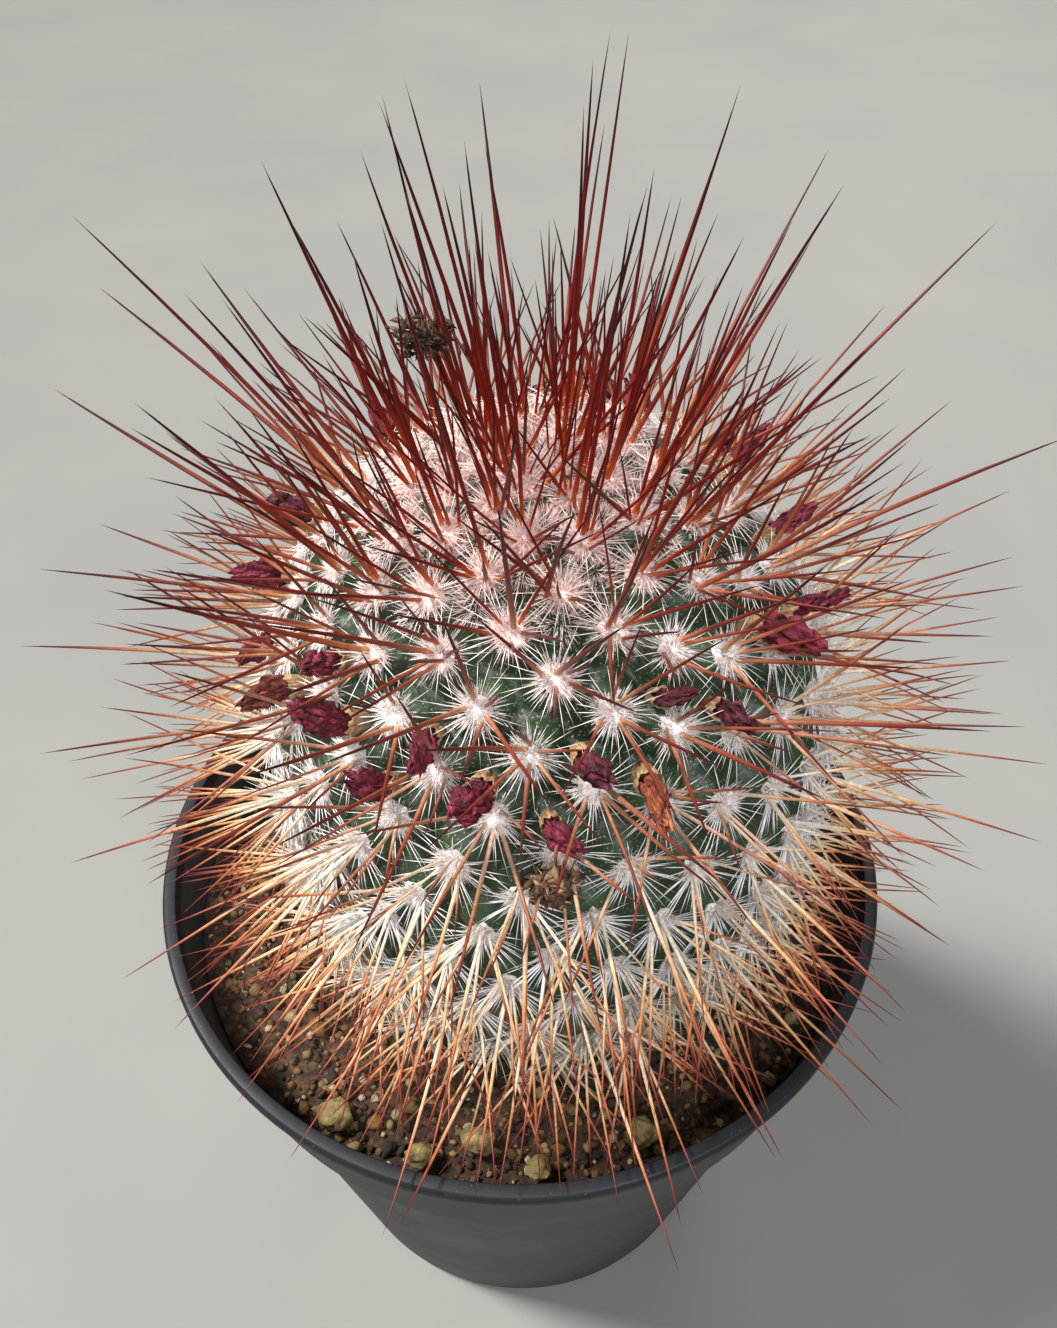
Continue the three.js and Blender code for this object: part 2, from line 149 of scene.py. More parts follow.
# %% Light and floor
def add_lamp(name, place, aim, power, colour, kind="AREA", **settings):
    """A lamp at a place, turned to face a point. Places are in metres."""
    data = bpy.data.lights.new(name, kind)
    data.energy = power
    data.color = colour
    for setting, value in settings.items():
        setattr(data, setting, value)
    lamp = bpy.data.objects.new(name, data)
    lamp.location = place
    lamp.rotation_euler = (Vector(aim) - Vector(place)).to_track_quat("-Z", "Y").to_euler()
    scene.collection.objects.link(lamp)


PLANT_AIM = (0, 0, 0.11)
add_lamp("key_sun", (-0.42, 0.05, 0.72), PLANT_AIM, 7.1, (1, 0.96, 0.91), "SUN", angle=0.19)
add_lamp("front_lamp", (0.12, -0.55, 0.7), PLANT_AIM, 6.6, (0.98, 0.98, 1), size=0.4)
add_lamp("back_lamp", (0.25, 0.75, 0.7), (0.05, 0.35, 0), 3.8, (1, 0.98, 0.95), size=0.5)
world = bpy.data.worlds.new("studio")
scene.world = world
world.use_nodes = True
sky = world.node_tree.nodes["Background"]
sky.inputs["Color"].default_value = (0.86, 0.9, 0.95, 1)
sky.inputs["Strength"].default_value = 0.2
print("Three lamps and a pale sky")

# %% [markdown]
# ## Small tools for materials
# Each finish below is a Principled shader whose colour, roughness and bump come from a few nodes.
# We could wire them by hand in the node editor, but with helpers a finish reads like a recipe. One
# makes a node and fills its sockets, and the others wrap the nodes that we use all the time.

# %% Tools for materials and nodes
def tint(code):
    """A colour such as 7a1f3a as the linear values that a shader takes."""
    values = [int(code[i:i + 2], 16) / 255 for i in (0, 2, 4)]
    return tuple(v / 12.92 if v < 0.04 else ((v + 0.055) / 1.055) ** 2.4 for v in values) + (1,)


def new_finish(name, **values):
    """A material whose shader takes the given values. An underscore stands for a space."""
    material = bpy.data.materials.new(name)
    material.use_nodes = True
    shader = material.node_tree.nodes["Principled BSDF"]
    for socket, value in values.items():
        shader.inputs[socket.replace("_", " ")].default_value = value
    return material


def add_node(kind, inputs, tree=None, **settings):
    """A node whose sockets take plain values, or links from other nodes and so their tree. Only
    the first node of a finish has to be told its tree."""
    linked = [key for key, value in inputs.items() if isinstance(value, bpy.types.NodeSocket)]
    tree = tree or inputs[linked[0]].id_data
    node = tree.nodes.new(kind)
    for setting, value in settings.items():
        setattr(node, setting, value)
    for key, value in inputs.items():
        if key in linked:
            tree.links.new(value, node.inputs[key])
        else:
            node.inputs[key].default_value = value
    return node


print("A mid grey is", round(tint("808080")[0], 3), "as a linear value")


# %% Tools for patterns
def noise_of(place, scale, detail=3, roughness=0.55):
    """A soft cloudy pattern from 0 to 1. The scale counts clouds in a metre."""
    inputs = {"Vector": place, "Scale": scale, "Detail": detail, "Roughness": roughness}
    return add_node("ShaderNodeTexNoise", inputs).outputs["Fac"]


def cells_of(place, scale, feature="F1"):
    """The distance to the middles of scattered cells, or to the lines between them."""
    inputs = {"Vector": place, "Scale": scale}
    return add_node("ShaderNodeTexVoronoi", inputs, feature=feature).outputs["Distance"]


def ramp_of(source, stops):
    """Colours by the value of a socket. Stops are pairs of a position and a colour code."""
    node = add_node("ShaderNodeValToRGB", {"Fac": source})
    marks = node.color_ramp.elements
    for mark, (position, code) in zip((marks[0], marks[-1]), (stops[0], stops[-1])):
        mark.position = position
        mark.color = tint(code)
    for position, code in stops[1:-1]:
        marks.new(position).color = tint(code)
    return node.outputs["Color"]


print("Noise, cells and ramps are ready")


# %% Tools for mixing
def steps_of(source, low, high, low_value=0, high_value=1):
    """A socket's values from low to high, stretched over another range and held inside it."""
    inputs = {"Value": source, "From Min": low, "From Max": high,
              "To Min": low_value, "To Max": high_value}
    return add_node("ShaderNodeMapRange", inputs).outputs["Result"]


def mix_of(share, first, second):
    """Two colours mixed by a share. Sockets 6 and 7 of this node are its colours."""
    inputs = {0: share, 6: first, 7: second}
    return add_node("ShaderNodeMix", inputs, data_type="RGBA").outputs[2]


def covered(colour, code, source, low, high, low_share=0, high_share=1):
    """A colour with another one over it, as strongly as the source says."""
    return mix_of(steps_of(source, low, high, low_share, high_share), colour, tint(code))


def maths_of(operation, first, second):
    return add_node("ShaderNodeMath", {0: first, 1: second}, operation=operation).outputs[0]


print("Steps, mixes and sums are ready")


# %% Tools that start and end a finish
def height_of(place):
    return add_node("ShaderNodeSeparateXYZ", {"Vector": place}).outputs["Z"]


def object_place(material):
    """Places in the part's frame, so that a pattern stays put on the piece."""
    return add_node("ShaderNodeTexCoord", {}, material.node_tree).outputs["Object"]


def map_parts(material):
    """The two coordinates of the piece's own UV map: across or age, and along."""
    uv = add_node("ShaderNodeUVMap", {}, material.node_tree, uv_map="OFBake").outputs["UV"]
    parts = add_node("ShaderNodeSeparateXYZ", {"Vector": uv}).outputs
    return uv, parts["X"], parts["Y"]


def finish_with(material, colour, height=None, depth=0, roughness=None):
    """Links a colour, and where given a bump of some depth in millimetres and a roughness."""
    links = material.node_tree.links
    shader = material.node_tree.nodes["Principled BSDF"]
    links.new(colour, shader.inputs["Base Color"])
    if roughness is not None:
        links.new(roughness, shader.inputs["Roughness"])
    if height is not None:
        bump = add_node("ShaderNodeBump", {"Height": height, "Distance": depth * MM, "Strength": 1})
        links.new(bump.outputs["Normal"], shader.inputs["Normal"])


print("Tools for materials are ready")

# %% [markdown]
# ## Small tools for shapes
# Nearly everything here is either turned or repeated. A turned shape, such as the pot, a petal
# tube or a single spine, is an outline spun about the Z axis. Repeated shapes, such as spines,
# hairs and grit, are copies of one small template in one mesh, because a thousand separate
# objects would be slow and hard to handle.

# %% Tools for turned shapes
def turned(outline, steps):
    """An outline of radius and height, spun once round the Z axis. Each vertex remembers how far
    along the outline it is, from 0 to 1."""
    bm = bmesh.new()
    run = bm.verts.layers.float.new("run")
    dots = [bm.verts.new((radius, 0, height)) for radius, height in outline]
    for i, dot in enumerate(dots):
        dot[run] = i / (len(dots) - 1)
    lines = [bm.edges.new(pair) for pair in zip(dots, dots[1:])]
    bmesh.ops.spin(bm, geom=dots + lines, cent=(0, 0, 0), axis=(0, 0, 1), angle=tau,
                   steps=steps, use_merge=True)
    bmesh.ops.remove_doubles(bm, verts=bm.verts, dist=1e-5)
    bmesh.ops.recalc_face_normals(bm, faces=bm.faces)
    return bm


def unroll(bm, share):
    """Lays a turned shape flat on a UV map: U runs round it, V is a vertex's share."""
    layer = bm.loops.layers.uv.new("OFBake")
    for face in bm.faces:
        middle = face.calc_center_median()
        turn = atan2(middle.y, middle.x)
        for loop in face.loops:
            x, y, _ = loop.vert.co
            own = atan2(y, x) if hypot(x, y) > 1e-4 else turn
            own = turn + remainder(own - turn, tau)
            loop[layer].uv = (0.5 + 0.9 * own / tau, share(loop.vert))


print("Turned shapes are ready")


# %% Tools for pieces
def as_mesh(bm, name):
    """Writes a bmesh into a mesh with smooth faces."""
    mesh = bpy.data.meshes.new(name)
    bm.to_mesh(mesh)
    bm.free()
    mesh.shade_smooth()
    return mesh


def as_piece(mesh, name, material, slot, *nodes):
    """A finished piece, which stands for the given nodes of the frame."""
    piece = bpy.data.objects.new(name, mesh)
    scene.collection.objects.link(piece)
    mesh.materials.append(material)
    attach(piece, "root")
    if nodes:
        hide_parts(*nodes)
    return piece


print("Tools for pieces are ready")


# %% Tools for copies
def corners_of(mesh):
    """The places of a mesh's vertices as an array."""
    flat = np.zeros(len(mesh.vertices) * 3)
    mesh.vertices.foreach_get("co", flat)
    return flat.reshape(-1, 3)


def moved(spots, matrix):
    grid = np.array(matrix)
    return spots @ grid[:3, :3].T + grid[:3, 3]


SHADE_WIDTH = 0.006   # the strip of the UV map that one copy takes


def fill_copies(template, spots, shades):
    """One mesh of copies of a template, with their vertices at the given spots. Each copy's shade
    becomes its place across the UV map, where a material can read it."""
    bm = bmesh.new()
    for _ in spots:
        bm.from_mesh(template)
    mesh = as_mesh(bm, "copies")
    mesh.vertices.foreach_set("co", spots.astype(np.float32).ravel())
    uv = mesh.uv_layers["OFBake"].uv
    flat = np.zeros(len(uv) * 2, np.float32)
    uv.foreach_get("vector", flat)
    flat = flat.reshape(len(spots), -1, 2)
    flat[:, :, 0] = 0.02 + 0.95 * np.array(shades)[:, None] + SHADE_WIDTH * flat[:, :, 0]
    uv.foreach_set("vector", flat.ravel())
    mesh.update()
    return mesh


print("One copy takes", SHADE_WIDTH, "of the UV map's width")


# %% Strands
def unit(vectors):
    return vectors / np.linalg.norm(vectors, axis=-1, keepdims=True)


def strand_mesh(template, strands, matrix, bend=np.square, ruffle=0):
    """Strands of a template of unit size. Each strand is a root, an aim, a length, a width, a
    sway, which is how far its end swings aside, and a shade."""
    root, aim, length, width, sway, shade = (np.array(part) for part in zip(*strands))
    shape = corners_of(template)
    up = shape[:, 2]
    aim = unit(aim)[:, None]
    upright = np.abs(aim[..., 2:]) > 0.9
    across = unit(np.cross(np.where(upright, (1, 0, 0), (0, 0, 1)), aim))
    third = np.cross(aim, across)
    length = length[:, None, None]
    width = width[:, None, None]
    swing = sway[:, None] * length * bend(up)[:, None]
    spots = root[:, None] + aim * length * up[:, None] + swing
    spots = spots + width * (across * shape[:, :1] + third * shape[:, 1:2])
    if ruffle:
        spots = spots + ruffle * np.random.default_rng(3).normal(size=spots.shape)
    return fill_copies(template, moved(spots, matrix), shade)


print("Strands are ready")

# %% [markdown]
# ## The floor
# A plain sheet under the pot catches the soft shadow. It is staging and not part of the object.

# %% Floor
floor_finish = new_finish("floor_card", Roughness=0.75)
floor_place = object_place(floor_finish)
finish_with(floor_finish, ramp_of(noise_of(floor_place, 9), [(0.3, "71716f"), (0.7, "777774")]))

bm = bmesh.new()
bmesh.ops.create_grid(bm, x_segments=2, y_segments=2, size=4)
sheet = bpy.data.objects.new("floor", as_mesh(bm, "floor"))
sheet.data.materials.append(floor_finish)
scene.collection.objects.link(sheet)
sheet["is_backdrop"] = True
print("The floor is 8 m wide")

# %% [markdown]
# ## The pot
# The real pot is thin plastic, pressed in a mould: a tapering body, a wider collar so that pots
# stack without jamming, and a thicker lip. It could be a cylinder with loop cuts, but its outline
# says everything, so we spin the outline. A bevel then rounds each corner, because a sharp
# plastic edge never looks real, and the drainage holes are cut through the floor.

# %% Pot shape
def inner_collar_r(height):
    share = (height - COLLAR_Z) / (POT_H - COLLAR_Z)
    return COLLAR_R + (COLLAR_TOP_R - COLLAR_R) * share - WALL


POT_STEPS = 144
POT_OUTLINE = [
    (0, 0), (BASE_R - 2.5, 0), (BASE_R - 0.7, 0.7), (BASE_R, 2.5),
    (BODY_TOP_R, COLLAR_Z - 1), (COLLAR_R, COLLAR_Z), (COLLAR_TOP_R, LIP_Z),
    (RIM_R, LIP_Z + 0.4), (RIM_R, POT_H - 0.5), (RIM_R - 0.4, POT_H),
    (inner_collar_r(POT_H), POT_H), (COLLAR_R - WALL, COLLAR_Z + 0.6),
    (BODY_TOP_R - WALL, COLLAR_Z - 0.4), (BASE_R - WALL, 3.2), (BASE_R - 2.2, FLOOR_Z),
    (0, FLOOR_Z),
]
SHARP = 0.18    # edges that turn by more radians than this are rounded
ROUNDING = 0.16
HOLES = 6
HOLE_RING_R = 22
HOLE_R = 3


def cut_away(piece, cutter_mesh):
    """Cuts a closed shape out of a piece with a Boolean."""
    cutter = bpy.data.objects.new("cutter", cutter_mesh)
    scene.collection.objects.link(cutter)
    cut = piece.modifiers.new("cut", "BOOLEAN")
    cut.operation = "DIFFERENCE"
    cut.object = cutter
    ready = piece.evaluated_get(bpy.context.evaluated_depsgraph_get())
    piece.data = bpy.data.meshes.new_from_object(ready)
    piece.modifiers.clear()
    bpy.data.objects.remove(cutter)
    piece.data.shade_smooth()


pot_bm = turned(POT_OUTLINE, POT_STEPS)
corners = [e for e in pot_bm.edges if e.is_manifold and e.calc_face_angle() > SHARP]
bmesh.ops.bevel(pot_bm, geom=corners, offset=ROUNDING, offset_type="OFFSET", affect="EDGES",
                segments=2, profile=0.5, material=-1)
pot_bm.transform(pot_to_part)
drill_bm = bmesh.new()
for i in range(HOLES):
    turn = (i + 0.5) * tau / HOLES
    spot = Matrix.Translation((HOLE_RING_R * cos(turn), HOLE_RING_R * sin(turn), 0))
    bmesh.ops.create_cone(drill_bm, cap_ends=True, segments=24, radius1=HOLE_R, radius2=HOLE_R,
                          depth=2 * HOLE_R, matrix=spot)
drill_bm.transform(pot_to_part)
print("The pot has", len(pot_bm.faces), "faces before its holes are cut")

# %% [markdown]
# The plastic is dark grey, blue on the lip, and satin rather than glossy. Moulding leaves very
# fine turning lines, and handling leaves dull patches and dust. The pattern is on Object
# coordinates, so that it is as large on the lip as on the body.

# %% Pot finish
pot_finish = new_finish("pot_plastic", Specular_IOR_Level=0.35)
place = object_place(pot_finish)
cloud = noise_of(place, 55, 5, 0.6)
plastic = ramp_of(cloud, [(0.3, "292a2c"), (0.6, "303132"), (0.8, "383938")])
plastic = covered(plastic, "101319", height_of(place), (LIP_Z - 0.4) * MM, LIP_Z * MM)
plastic = covered(plastic, "595651", cells_of(place, 900), 0.05, 0.16, 0.35, 0)
lines = add_node("ShaderNodeTexWave",
                 {"Vector": place, "Scale": 420, "Distortion": 0.6, "Detail": 1},
                 bands_direction="Z").outputs["Fac"]
relief = mix_of(0.25, noise_of(place, 900, 4), lines)
dullness = steps_of(cloud, 0.3, 0.75, 0.5, 0.7)
finish_with(pot_finish, plastic, relief, 0.03, dullness)

pot = as_piece(as_mesh(pot_bm, "nursery_pot"), "nursery_pot", pot_finish, "pot_plastic", "pot")
cut_away(pot, as_mesh(drill_bm, "drills"))
print("The pot has", len(pot.data.polygons), "faces")

# %% [markdown]
# ## The spiral lattice
# A cactus sets each new areole, the woolly cushion that bears its spines, at a turn of about
# 137.5 degrees from the last one. All the rows that the eye sees follow from that one number. We
# could scatter cushions by hand, but this rule gives the true pattern, and the frame was built
# with it, so our spines stand where the frame's are.

# %% The lattice
def chance(a, b):
    """A repeatable number from 0 to 1 for a pair of numbers."""
    s = sin(a * 12.9898 + b * 78.233) * 43758.5453
    return s - floor(s)


def held(value, low=0, high=1):
    return max(low, min(high, value))


def between(a, b, share):
    return a + (b - a) * share


def stem_radius(z):
    half = STEM_UP if z > 0 else STEM_DOWN
    return STEM_R * sqrt(max(0, 1 - (z / half) ** 2))


def middle_line(z):
    """The stem's middle: its lower part bends back, so that the foot stands upright."""
    low = min(0, z)
    return Vector((-LEAN_Y * low, LEAN_X * low, 0))


def lattice_point(n):
    rise = held(1 - (n / EQUATOR_COUNT) ** CROWDING, -1)
    turn = FIRST_TURN - n * DIVERGENCE
    z = STEM_UP * rise
    r = stem_radius(z)
    return Vector((r * cos(turn), r * sin(turn), z)) + middle_line(z)


def outward(point):
    half = STEM_UP if point.z > 0 else STEM_DOWN
    arm = point - middle_line(point.z)
    return Vector((arm.x / STEM_R ** 2, arm.y / STEM_R ** 2, point.z / half ** 2)).normalized()


class Areole:
    """The place of areole n: its foot on the barrel, its directions, its tip and its hub."""

    def __init__(self, n):
        self.n = n
        self.foot = lattice_point(n)
        self.out = outward(self.foot)
        along = lattice_point(n + ROWS) - self.foot
        self.along = (along - self.out * along.dot(self.out)).normalized()
        self.side = self.out.cross(self.along)
        self.tip = self.foot + self.out * TIP_OUT
        self.hub = self.foot + self.out * HUB_OUT

    def aim(self, tilt, turn):
        """A direction that leans by tilt from straight out, to a side given by turn."""
        flat = self.along * cos(turn) + self.side * sin(turn)
        return self.out * cos(tilt) + flat * sin(tilt)


areoles = [Areole(n) for n in range(LATTICE_END + 1)]
print("The lattice has", len(areoles), "places")

# %% [markdown]
# ## The stem
# Under the wool the body is a barrel covered with soft cone-shaped tubercles, one below each
# areole. Sculpting 260 cones would take all day, so we spin a fine barrel and push every vertex
# in or out by its distance to the two nearest areoles: near one it stands out, and halfway
# between two it sinks into the valley. How deep it lies is kept as an attribute, because the
# skin is painted with shade in the valleys.

# %% Stem shape
STEM_STEPS = 240
VALLEY_DEPTH = 0.7
LOWEST_Z = -39    # where the barrel meets the foot
LOWER_ROWS = 46
UPPER_ROWS = 66

stem_outline = [(0, -76), (1.4, -75), (3, -62), (5, -54), (8, -49.5), (12, -46.5), (FOOT_R, FOOT_Z)]
for i in range(LOWER_ROWS):
    height = between(LOWEST_Z, 0, i / LOWER_ROWS)
    stem_outline.append((stem_radius(height), height))
for i in range(UPPER_ROWS):
    angle = pi / 2 * i / UPPER_ROWS
    stem_outline.append((STEM_R * cos(angle), STEM_UP * sin(angle)))
stem_outline.append((0, STEM_UP))

areole_tree = KDTree(len(areoles))
for areole in areoles:
    areole_tree.insert(areole.foot, areole.n)
areole_tree.balance()

stem_bm = turned(stem_outline, STEM_STEPS)
valley_shade_layer = stem_bm.verts.layers.float.new("valley_shade")
for vert in stem_bm.verts:
    vert.co += middle_line(vert.co.z)
    near, far = (found[2] for found in areole_tree.find_n(vert.co, 2))
    share = (far - near) / (far + near)
    dip = (1 - share) ** 2.3
    bare = held((vert.co.z - BARE_Z + 4) / 8)
    crease = VALLEY_DEPTH * (near + far) / 2 * dip
    ripple = 0.12 * noise.noise(vert.co * 0.9)
    vert[valley_shade_layer] = dip * bare
    vert.co += outward(vert.co) * (TIP_OUT - crease + ripple) * bare
stem_bm.transform(plant_to_part)
print("The stem has", len(stem_bm.faces), "faces")

# %% [markdown]
# Skin finish: waxy dark green with tiny pale specks, with painted shade that darkens the valleys,
# and dry and corky low down where the plant is old. The specks are the middles of small cells,
# which also show in the bump.

# %% Stem finish
skin = new_finish("stem_skin", Roughness=0.5)
place = object_place(skin)
valley_shade = add_node("ShaderNodeAttribute", {}, skin.node_tree,
                  attribute_name="valley_shade").outputs["Fac"]
cloud = noise_of(place, 160, 5, 0.6)
green = ramp_of(cloud, [(0.25, "172515"), (0.5, "21371c"), (0.75, "364e28")])
# painted shade: the skin turns near-black green where it lies deep in a valley between tubercles
green = covered(green, "0c150b", valley_shade, 0.35, 1, 0, 0.65)
speck_cells = cells_of(place, 2300)
specks = steps_of(speck_cells, 0.12, 0.3, 0.85, 0)
patchy = steps_of(noise_of(place, 420, 3), 0.36, 0.58)
green = mix_of(maths_of("MULTIPLY", specks, patchy), green, tint("86957f"))
cork_edge = maths_of("MULTIPLY", noise_of(place, 240, 4), 0.022)
cork_height = maths_of("SUBTRACT", height_of(place), cork_edge)
cork_share = steps_of(cork_height, 0.072, 0.084, 1, 0)
cork = ramp_of(noise_of(place, 900, 4), [(0.3, "6f5b40"), (0.7, "a8946c")])
green = mix_of(cork_share, green, cork)
relief = mix_of(0.5, noise_of(place, 1500, 4), speck_cells)
finish_with(skin, green, relief, 0.09, steps_of(cloud, 0.3, 0.7, 0.42, 0.6))

as_piece(as_mesh(stem_bm, "cactus_stem"), "cactus_stem", skin, "stem_skin", "stem")
print("The stem's skin is on")

# %% [markdown]
# ## The potting mix
# The mix is a turned block with a bumpy top and a socket for the stem's foot. The top is what
# shows, so it gets close rings, a noise that lifts them, and then thousands of separate crumbs:
# a flat surface with a bump texture never casts the small shadows that real crumbs do.

# %% Mix shape
SOIL_STEPS = 180
SOIL_RINGS = 54
GAP = 0.35
SOIL_EDGE_R = inner_collar_r(SOIL_Z) - GAP


def soil_height(x, y):
    """Height of the mix at a place: low waves, with smaller lumps on them."""
    spot = Vector((x, y, 0))
    edge = held((hypot(x, y) - 38) / 8)
    return SOIL_Z + 0.5 * noise.noise(spot * 0.12) + 0.55 * noise.noise(spot * 0.55) - 0.4 * edge


soil_outline = [(0, FLOOR_Z + GAP), (BASE_R - 2.6, FLOOR_Z + GAP), (BASE_R - WALL - GAP, 3.5),
                (BODY_TOP_R - WALL - GAP, COLLAR_Z - 0.4), (COLLAR_R - WALL - GAP, COLLAR_Z + 0.9)]
soil_outline += [(SOIL_EDGE_R * (1 - i / SOIL_RINGS), SOIL_Z) for i in range(SOIL_RINGS + 1)]
soil_bm = turned(soil_outline, SOIL_STEPS)
for vert in soil_bm.verts:
    if vert.co.z > SOIL_Z - 0.01:
        vert.co.z = soil_height(vert.co.x, vert.co.y)
soil_bm.transform(pot_to_part)

socket_outline = [
    (0, -76.5), (2.1, -75.5), (3.7, -62.5), (5.7, -54.5), (8.7, -50), (13, -47.2),
    (FOOT_R + 1, -45.2), (stem_radius(-37) + 0.4, -37.5), (stem_radius(-30) + 0.4, -20), (0, -20)]
socket_bm = turned(socket_outline, 72)
for vert in socket_bm.verts:
    vert.co += middle_line(vert.co.z)
socket_bm.transform(plant_to_part)
print("The mix has", len(soil_bm.faces), "faces before its socket is cut")

# %% [markdown]
# Damp potting mix is dark, with brown bark in it, and noises of different size give that mottled
# look. One finish serves the block, and a second, by the shade of each crumb, the loose bits.

# %% Mix finish
mix_finish = new_finish("damp_potting_mix", Roughness=0.95)
place = object_place(mix_finish)
crumbs = noise_of(place, 700, 6, 0.7)
earth = ramp_of(crumbs, [(0.3, "140c06"), (0.46, "2a1d12"), (0.6, "4c3520"), (0.75, "735738")])
earth = covered(earth, "21160d", noise_of(place, 60), 0.4, 0.65, 0, 0.5)
relief = mix_of(0.5, crumbs, cells_of(place, 800))
finish_with(mix_finish, earth, relief, 0.5)

soil = as_piece(as_mesh(soil_bm, "potting_mix_block"), "potting_mix_block", mix_finish,
                "potting_mix", "potting_mix")
cut_away(soil, as_mesh(socket_bm, "socket"))
print("The mix has", len(soil.data.polygons), "faces")

# %% [markdown]
# ## Crumbs and grit
# Each crumb is a small ball that noise has knocked out of shape. All share one template, and
# differ in size, turn and shade. They lie outside the stem's foot, more of them small than large.

# %% Tools for rough balls
def rough_ball(subdivisions, seed, dent):
    """A ball dented by noise, with a UV map that runs round and up it."""
    bm = bmesh.new()
    bmesh.ops.create_icosphere(bm, subdivisions=subdivisions, radius=1)
    for vert in bm.verts:
        vert.co *= 1 + dent * noise.noise(vert.co * 1.7 + Vector((seed, 0, 0)))
    unroll(bm, lambda vert: 0.5 + vert.co.z / 3)
    return bm


def ball_mesh(template, balls, matrix):
    """Copies of a ball. Each one is a place, a size along three axes, a turn and a shade."""
    shape = corners_of(template)
    spots = []
    for spot, size, turn, _ in balls:
        grid = np.array(turn.to_matrix()) * np.array(size)
        spots.append(shape @ grid.T + np.array(spot))
    return fill_copies(template, moved(np.array(spots), matrix), [ball[3] for ball in balls])


def unit_vector(rng):
    return Vector((rng.gauss(0, 1), rng.gauss(0, 1), rng.gauss(0, 1))).normalized()


def any_turn(rng):
    """A turn of a piece to any side, all as likely."""
    return Matrix.Rotation(rng.random() * tau, 3, unit_vector(rng)).to_quaternion()


print("Rough balls are ready")

# %% Crumbs on the mix
MIX_LEVEL_Z = -38   # the level of the stem where it leaves the mix
foot_middle = plant_to_pot @ middle_line(MIX_LEVEL_Z)
foot_clear = stem_radius(MIX_LEVEL_Z) - 0.5


def crumbs_on_mix(count, small, large, seed):
    """Balls of a range of sizes, scattered over the mix."""
    rng = random.Random(seed)
    found = []
    while len(found) < count:
        ring = (SOIL_EDGE_R - 0.8) * sqrt(rng.random())
        turn = rng.random() * tau
        x = ring * cos(turn)
        y = ring * sin(turn)
        if hypot(x - foot_middle.x, y - foot_middle.y) < foot_clear:
            continue
        size = between(small, large, rng.random() ** 2.2)
        sizes = (size, size * rng.uniform(0.6, 1), size * rng.uniform(0.45, 0.9))
        spot = (x, y, soil_height(x, y) + 0.35 * size)
        found.append((spot, sizes, any_turn(rng), rng.random()))
    return found


crumb_finish = new_finish("crumbs_and_grit", Roughness=0.9)
uv, shade, _ = map_parts(crumb_finish)
crumb_colour = ramp_of(shade, [
    (0, "170d07"), (0.26, "2f1e11"), (0.48, "523820"), (0.64, "7a562a"), (0.76, "6e6239"),
    (0.86, "937a50"), (0.94, "b8a888"), (1, "6c5642")])
crumb_colour = covered(crumb_colour, "0e0906", noise_of(uv, 90, 4, 0.7), 0.35, 0.7, 0.55, 0)
finish_with(crumb_finish, crumb_colour, noise_of(object_place(crumb_finish), 1600), 0.12)

CRUMB_BATCHES = [("fine_crumbs", 1, 5200, 0.25, 0.8, 11), ("coarse_crumbs", 2, 420, 0.6, 1.2, 12)]
CRUMB_DENT = 0.75
for name, subdivisions, count, small, large, seed in CRUMB_BATCHES:
    template = as_mesh(rough_ball(subdivisions, seed, CRUMB_DENT), name + "_template")
    mesh = ball_mesh(template, crumbs_on_mix(count, small, large, seed), pot_to_part)
    as_piece(mesh, name, crumb_finish, "potting_mix")
    print(name, len(mesh.polygons), "faces")

# %% [markdown]
# The seven larger stones are pieces of the frame, so the box of its node gives each one its place
# and size. Their finish is greenish tan with dark pits.

# %% Stones
stone_finish = new_finish("grit_stone", Roughness=0.85)
place = object_place(stone_finish)
mottle = noise_of(place, 500, 5, 0.65)
stone_colour = ramp_of(mottle, [
    (0.28, "32291b"), (0.45, "655831"), (0.6, "87774a"), (0.75, "aa9b74")])
stone_colour = covered(stone_colour, "2c261a", cells_of(place, 1300), 0.08, 0.22, 0.6, 0)
finish_with(stone_finish, stone_colour, noise_of(place, 1300, 5, 0.7), 0.25)

for number in range(1, 8):
    node = f"grit_stone_{number}"
    low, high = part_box(node)
    bm = rough_ball(4, number * 7.3, 0.32)
    for vert in bm.verts:
        vert.co *= 1 + 0.08 * noise.noise(vert.co * 5)
    bm.transform(Matrix.Translation((low + high) / 2) @ Matrix.Diagonal((*(high - low) * 0.52, 1)))
    bm.loops.layers.uv.remove(bm.loops.layers.uv["OFBake"])
    as_piece(as_mesh(bm, f"stone_{number}"), f"stone_{number}", stone_finish, "grit", node)
print("Seven stones")

# %% [markdown]
# ## Spines, radial spines and wool
# Each areole bears three kinds of growth. Stout central spines stand out, fine white radial
# spines lie nearly flat round them like a star, and white wool fills the middle. All are strands:
# a thin turned template that is copied, stretched, aimed and bent. Colour goes by age, which
# grows steadily from the crown to the foot, so age is the shade of each strand.

# %% Where spines may not grow
# Each stone as an angle in degrees, a distance from the pot's axis and a size
STONES = [(238.5, 43.6, 2.2), (254, 43.8, 1.9), (263, 40.6, 2.3), (273, 43.4, 1.7), (291, 42, 2.1),
          (10, 43, 2), (160, 42, 2.3)]
WATER_AT = 29    # the four spaces that are kept free for watering
WATER_HALF = 3.5
WATER_TOP = 84.5
RIM_IN = RIM_R - 2.6
RIM_OUT = RIM_R + 1.2


